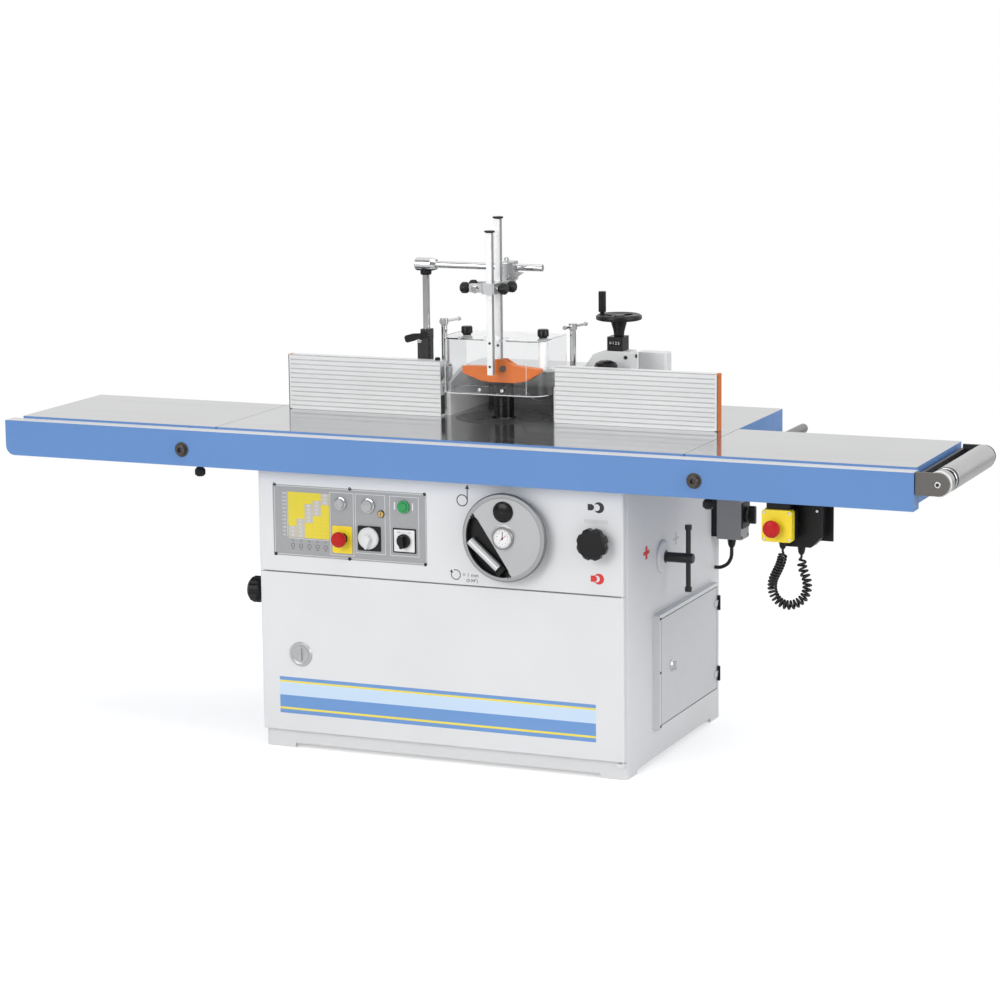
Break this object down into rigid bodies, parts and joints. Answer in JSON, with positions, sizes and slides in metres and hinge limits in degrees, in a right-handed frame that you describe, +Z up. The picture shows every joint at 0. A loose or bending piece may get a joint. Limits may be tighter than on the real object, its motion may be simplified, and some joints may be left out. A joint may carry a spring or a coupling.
{
  "type": "spindle moulder",
  "caption": "Floor-standing spindle moulder with sheet-steel cabinet, extended table, adjustable fences, clear cutter guard, pressure holder and outboard roller.",
  "frame": {"origin": "on the floor under the middle of the machine's box", "axes": "+X to the operator's right along the table, +Y away from the operator, +Z up"},
  "size_m": [2.598, 0.851, 1.388],
  "materials": {
    "cabinet_paint": "satin light grey paint",
    "rail_blue": "satin blue paint",
    "table_iron": "ground top, painted sides",
    "ring_iron": "ground",
    "control_grey": "matt grey paint",
    "black_plastic": "moulded black",
    "black_metal": "black coated",
    "red_plastic": "moulded red",
    "green_plastic": "moulded green",
    "yellow_plastic": "moulded yellow",
    "grey_plastic": "moulded grey",
    "chrome": "bright",
    "steel": "machined",
    "carriage_iron": "as cast",
    "aluminium": "brushed",
    "clear_guard": "clear sheet",
    "orange_plastic": "moulded orange",
    "cable_black": "smooth sheath"
  },
  "bodies": {
    "machine": {"cabinet": "cabinet_paint", "front_panel": "cabinet_paint", "control_panel": "control_grey", "enclosure_box": "cabinet_paint", "switch_box": "grey_plastic", "switch_box_lead": "cable_black", "box_fittings": "black_metal", "estop_station_cover": "yellow_plastic", "junction_box": "black_plastic", "curly_cord": "cable_black", "main_table": "table_iron", "left_extension_table": "table_iron", "right_extension_table": "table_iron", "front_rail": "rail_blue", "table_rings": "ring_iron", "side_guide_rod": "black_metal", "spindle_guide": "steel", "fence_drive_housing": "cabinet_paint", "fence_hood": "cabinet_paint", "pressure_bracket": "black_metal"},
    "spindle_carriage": {"spindle_carriage": "carriage_iron", "motor": "carriage_iron", "drive_belt": "cable_black"},
    "spindle": {"spindle_shaft": "steel", "spacer_rings": "black_metal"},
    "height_handwheel": {"height_handwheel": "aluminium"},
    "lift_screw": {"lift_screw": "steel"},
    "handwheel_grip": {"handwheel_grip": "chrome"},
    "motor_pulley": {"motor_pulley": "steel"},
    "height_lock_knob": {"height_lock_knob": "black_plastic"},
    "front_door": {"front_door": "cabinet_paint"},
    "door_lock": {"door_lock": "chrome"},
    "enclosure_door": {"enclosure_door": "cabinet_paint"},
    "enclosure_lock": {"enclosure_lock": "chrome"},
    "tension_handle": {"tension_handle": "black_metal"},
    "side_clamp_knob": {"side_clamp_knob": "black_plastic"},
    "panel_estop_button": {"panel_estop_button": "red_plastic"},
    "start_button": {"start_button": "green_plastic"},
    "main_switch_knob": {"main_switch_knob": "grey_plastic"},
    "selector_knob": {"selector_knob": "black_plastic"},
    "station_estop_button": {"station_estop_button": "red_plastic"},
    "isolator_handle": {"isolator_handle": "black_plastic"},
    "left_fence": {"left_fence": "aluminium"},
    "fence_handwheel": {"fence_handwheel": "black_plastic"},
    "infeed_carrier": {"infeed_carrier": "cabinet_paint"},
    "right_fence": {"right_fence": "aluminium"},
    "fence_lock_knob": {"fence_lock_knob": "black_plastic"},
    "hood_clamp_left": {"hood_clamp_left": "chrome"},
    "hood_clamp_right": {"hood_clamp_right": "chrome"},
    "pressure_post": {"pressure_post": "chrome"},
    "pressure_clamp": {"pressure_clamp": "aluminium"},
    "front_pressure_bar": {"front_pressure_bar": "aluminium"},
    "rear_pressure_bar": {"rear_pressure_bar": "aluminium"},
    "pressure_shoe": {"pressure_shoe": "orange_plastic"},
    "pressure_lever": {"pressure_lever": "black_plastic"},
    "clear_guard": {"clear_guard": "clear_guard"},
    "roller_slide": {"roller_slide": "black_metal"},
    "roller_tube": {"roller_tube": "steel"},
    "extension_lock_left": {"extension_lock_left": "black_plastic"},
    "extension_lock_right": {"extension_lock_right": "black_plastic"}
  },
  "joints": [
    {"name": "height_wheel_turn", "type": "hinge", "parent": "machine", "child": "height_handwheel", "pos_m": [0.144, -0.3875, 0.614], "axis": [0, 1, 0], "range_deg": [-9000, 4500]},
    {"name": "spindle_lift", "type": "slide", "parent": "machine", "child": "spindle_carriage", "axis": [0, 0, 1], "range_m": [-0.1, 0.05]},
    {"name": "lift_screw_turn", "type": "hinge", "parent": "machine", "child": "lift_screw", "pos_m": [0.144, -0.0775, 0.45], "axis": [0, 0, 1], "range_deg": [-4500, 9000]},
    {"name": "grip_fold", "type": "hinge", "parent": "height_handwheel", "child": "handwheel_grip", "pos_m": [0.13481, -0.3895, 0.5278], "axis": [0.6557, 0, 0.755], "range_deg": [0, 90]},
    {"name": "spindle_spin", "type": "hinge", "parent": "spindle_carriage", "child": "spindle", "pos_m": [-0.035, 0.0425, 0.7], "axis": [0, 0, 1], "continuous": true},
    {"name": "motor_spin", "type": "hinge", "parent": "spindle_carriage", "child": "motor_pulley", "pos_m": [-0.365, 0.0425, 0.43], "axis": [0, 0, 1], "continuous": true},
    {"name": "height_lock_turn", "type": "hinge", "parent": "machine", "child": "height_lock_knob", "pos_m": [0.383, -0.3875, 0.613], "axis": [0, 1, 0], "range_deg": [0, 180]},
    {"name": "door_swing", "type": "hinge", "parent": "machine", "child": "front_door", "pos_m": [0.449, -0.3535, 0.26], "axis": [0, 0, 1], "range_deg": [0, 110]},
    {"name": "door_lock_turn", "type": "hinge", "parent": "front_door", "child": "door_lock", "pos_m": [-0.452, -0.3585, 0.258], "axis": [0, -1, 0], "range_deg": [0, 90]},
    {"name": "enclosure_door_swing", "type": "hinge", "parent": "machine", "child": "enclosure_door", "pos_m": [0.482, 0.2895, 0.24], "axis": [0, 0, 1], "range_deg": [0, 115]},
    {"name": "enclosure_lock_turn", "type": "hinge", "parent": "enclosure_door", "child": "enclosure_lock", "pos_m": [0.477, -0.0665, 0.241], "axis": [1, 0, 0], "range_deg": [0, 90]},
    {"name": "tension_turn", "type": "hinge", "parent": "machine", "child": "tension_handle", "pos_m": [0.505, -0.0875, 0.531], "axis": [1, 0, 0], "range_deg": [-45, 45]},
    {"name": "side_knob_turn", "type": "hinge", "parent": "machine", "child": "side_clamp_knob", "pos_m": [-0.585, -0.3275, 0.417], "axis": [1, 0, 0], "range_deg": [0, 180]},
    {"name": "panel_estop_push", "type": "slide", "parent": "machine", "child": "panel_estop_button", "axis": [0, 1, 0], "range_m": [0, 0.004], "stiffness_N_per_m": 2000, "springref_m": -0.002},
    {"name": "start_push", "type": "slide", "parent": "machine", "child": "start_button", "axis": [0, 1, 0], "range_m": [0, 0.003], "stiffness_N_per_m": 1200, "springref_m": -0.002},
    {"name": "main_switch_turn", "type": "hinge", "parent": "machine", "child": "main_switch_knob", "pos_m": [-0.2475, -0.3675, 0.582], "axis": [0, 1, 0], "range_deg": [0, 90]},
    {"name": "selector_turn", "type": "hinge", "parent": "machine", "child": "selector_knob", "pos_m": [-0.1475, -0.3675, 0.581], "axis": [0, 1, 0], "range_deg": [-60, 60]},
    {"name": "station_estop_push", "type": "slide", "parent": "machine", "child": "station_estop_button", "axis": [0, 1, 0], "range_m": [0, 0.004], "stiffness_N_per_m": 2000, "springref_m": -0.002},
    {"name": "isolator_turn", "type": "hinge", "parent": "machine", "child": "isolator_handle", "pos_m": [0.555, 0.3255, 0.574], "axis": [1, 0, 0], "range_deg": [0, 90]},
    {"name": "left_fence_slide", "type": "slide", "parent": "machine", "child": "left_fence", "axis": [1, 0, 0], "range_m": [-0.06, 0.012]},
    {"name": "fence_wheel_turn", "type": "hinge", "parent": "machine", "child": "fence_handwheel", "pos_m": [0.253, 0.1425, 1.1], "axis": [0, 0, 1], "range_deg": [-1440, 1440]},
    {"name": "infeed_slide", "type": "slide", "parent": "machine", "child": "infeed_carrier", "axis": [0, 1, 0], "range_m": [-0.008, 0.008]},
    {"name": "right_fence_slide", "type": "slide", "parent": "infeed_carrier", "child": "right_fence", "axis": [1, 0, 0], "range_m": [-0.004, 0.06]},
    {"name": "fence_lock_turn", "type": "hinge", "parent": "infeed_carrier", "child": "fence_lock_knob", "pos_m": [0.249, 0.0555, 0.99], "axis": [0, 0, 1], "range_deg": [0, 180]},
    {"name": "left_clamp_turn", "type": "hinge", "parent": "machine", "child": "hood_clamp_left", "pos_m": [-0.22, 0.0725, 1], "axis": [0, 0, 1], "range_deg": [0, 90]},
    {"name": "right_clamp_turn", "type": "hinge", "parent": "machine", "child": "hood_clamp_right", "pos_m": [0.15, 0.0725, 1], "axis": [0, 0, 1], "range_deg": [-30, 35]},
    {"name": "post_slide", "type": "slide", "parent": "machine", "child": "pressure_post", "axis": [0, 0, 1], "range_m": [-0.03, 0.025]},
    {"name": "clamp_slide", "type": "slide", "parent": "pressure_post", "child": "pressure_clamp", "axis": [1, 0, 0], "range_m": [-0.03, 0.006]},
    {"name": "front_bar_slide", "type": "slide", "parent": "pressure_clamp", "child": "front_pressure_bar", "axis": [0, 0, 1], "range_m": [-0.06, 0.12]},
    {"name": "rear_bar_slide", "type": "slide", "parent": "pressure_clamp", "child": "rear_pressure_bar", "axis": [0, 0, 1], "range_m": [-0.045, 0.02]},
    {"name": "shoe_tilt", "type": "hinge", "parent": "rear_pressure_bar", "child": "pressure_shoe", "pos_m": [-0.008, -0.0115, 0.99], "axis": [0, 1, 0], "range_deg": [-8, 8]},
    {"name": "lever_turn", "type": "hinge", "parent": "machine", "child": "pressure_lever", "pos_m": [-0.252, 0.0245, 1.066], "axis": [0, 1, 0], "range_deg": [0, 70]},
    {"name": "guard_lift", "type": "slide", "parent": "machine", "child": "clear_guard", "axis": [0, 0, 1], "range_m": [0, 0.06]},
    {"name": "roller_pull", "type": "slide", "parent": "machine", "child": "roller_slide", "axis": [1, 0, 0], "range_m": [0, 0.25]},
    {"name": "roller_spin", "type": "hinge", "parent": "roller_slide", "child": "roller_tube", "pos_m": [1.268, -0.1805, 0.818], "axis": [0, 1, 0], "continuous": true},
    {"name": "left_extension_lock_turn", "type": "hinge", "parent": "machine", "child": "extension_lock_left", "pos_m": [-0.721, -0.3875, 0.735], "axis": [0, 0, 1], "range_deg": [0, 180]},
    {"name": "right_extension_lock_turn", "type": "hinge", "parent": "machine", "child": "extension_lock_right", "pos_m": [0.688, -0.3875, 0.735], "axis": [0, 0, 1], "range_deg": [0, 180]}
  ],
  "couplings": [
    {"joint": "spindle_lift", "follows": "height_wheel_turn", "m_per_rad": 0.0006366},
    {"joint": "lift_screw_turn", "follows": "height_wheel_turn", "ratio": -1},
    {"joint": "motor_spin", "follows": "spindle_spin", "ratio": 0.7258},
    {"joint": "fence_wheel_turn", "follows": "infeed_slide", "rad_per_m": 3141.5}
  ]
}
